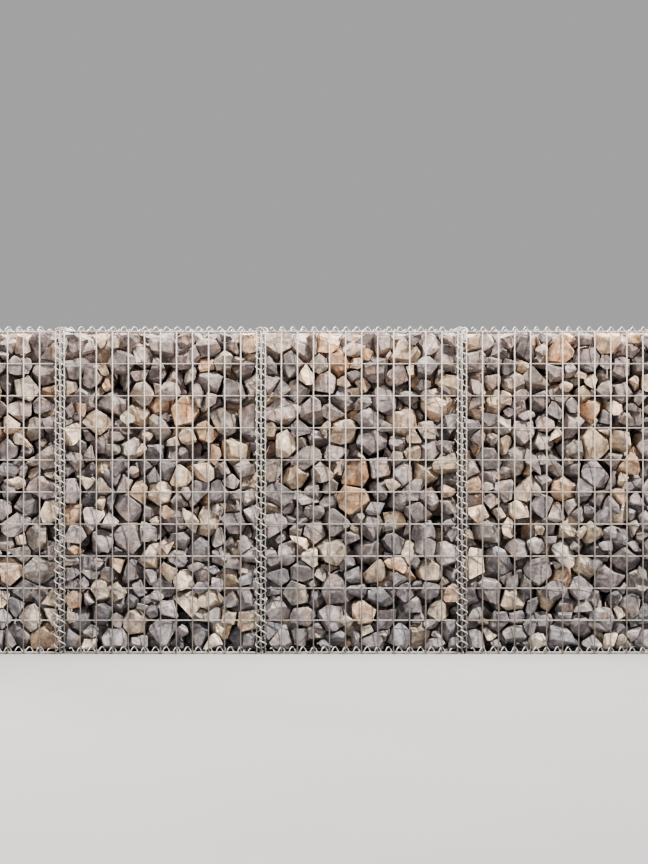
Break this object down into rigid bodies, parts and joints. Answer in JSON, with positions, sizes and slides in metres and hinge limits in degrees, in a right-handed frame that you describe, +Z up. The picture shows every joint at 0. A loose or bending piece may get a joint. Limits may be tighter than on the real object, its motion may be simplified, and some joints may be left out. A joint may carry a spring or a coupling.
{
  "type": "gabion wall",
  "caption": "Free-standing wall of welded wire mesh baskets filled with broken stone, laced together along their edges with wire spirals.",
  "frame": {"origin": "middle of the wall's footprint on the ground", "axes": "+X along the wall, +Y from the front to the back, +Z up"},
  "size_m": [2.5182, 0.3236, 1.0219],
  "materials": {
    "mesh_wire": "dull galvanised wire",
    "spiral_wire": "galvanised wire",
    "stone": "rough broken stone"
  },
  "bodies": {
    "root": {"back_left_corner_spiral": "spiral_wire", "back_panel_1": "mesh_wire", "back_panel_2": "mesh_wire", "back_panel_3": "mesh_wire", "back_panel_4": "mesh_wire", "back_right_corner_spiral": "spiral_wire", "back_seam_spirals_1": "spiral_wire", "back_seam_spirals_2": "spiral_wire", "back_seam_spirals_3": "spiral_wire", "base_1": "mesh_wire", "base_2": "mesh_wire", "base_3": "mesh_wire", "base_4": "mesh_wire", "bottom_back_spirals": "spiral_wire", "bottom_front_spirals": "spiral_wire", "front_left_corner_spiral": "spiral_wire", "front_panel_1": "mesh_wire", "front_panel_2": "mesh_wire", "front_panel_3": "mesh_wire", "front_panel_4": "mesh_wire", "front_right_corner_spiral": "spiral_wire", "front_seam_spirals_1": "spiral_wire", "front_seam_spirals_2": "spiral_wire", "front_seam_spirals_3": "spiral_wire", "left_end_panel": "mesh_wire", "lid_1": "mesh_wire", "lid_2": "mesh_wire", "lid_3": "mesh_wire", "lid_4": "mesh_wire", "partition_1": "mesh_wire", "partition_2": "mesh_wire", "partition_3": "mesh_wire", "right_end_panel": "mesh_wire", "stone_fill_1": "stone", "stone_fill_2": "stone", "stone_fill_3": "stone", "stone_fill_4": "stone", "top_back_spirals": "spiral_wire", "top_front_spirals": "spiral_wire"}
  },
  "joints": []
}
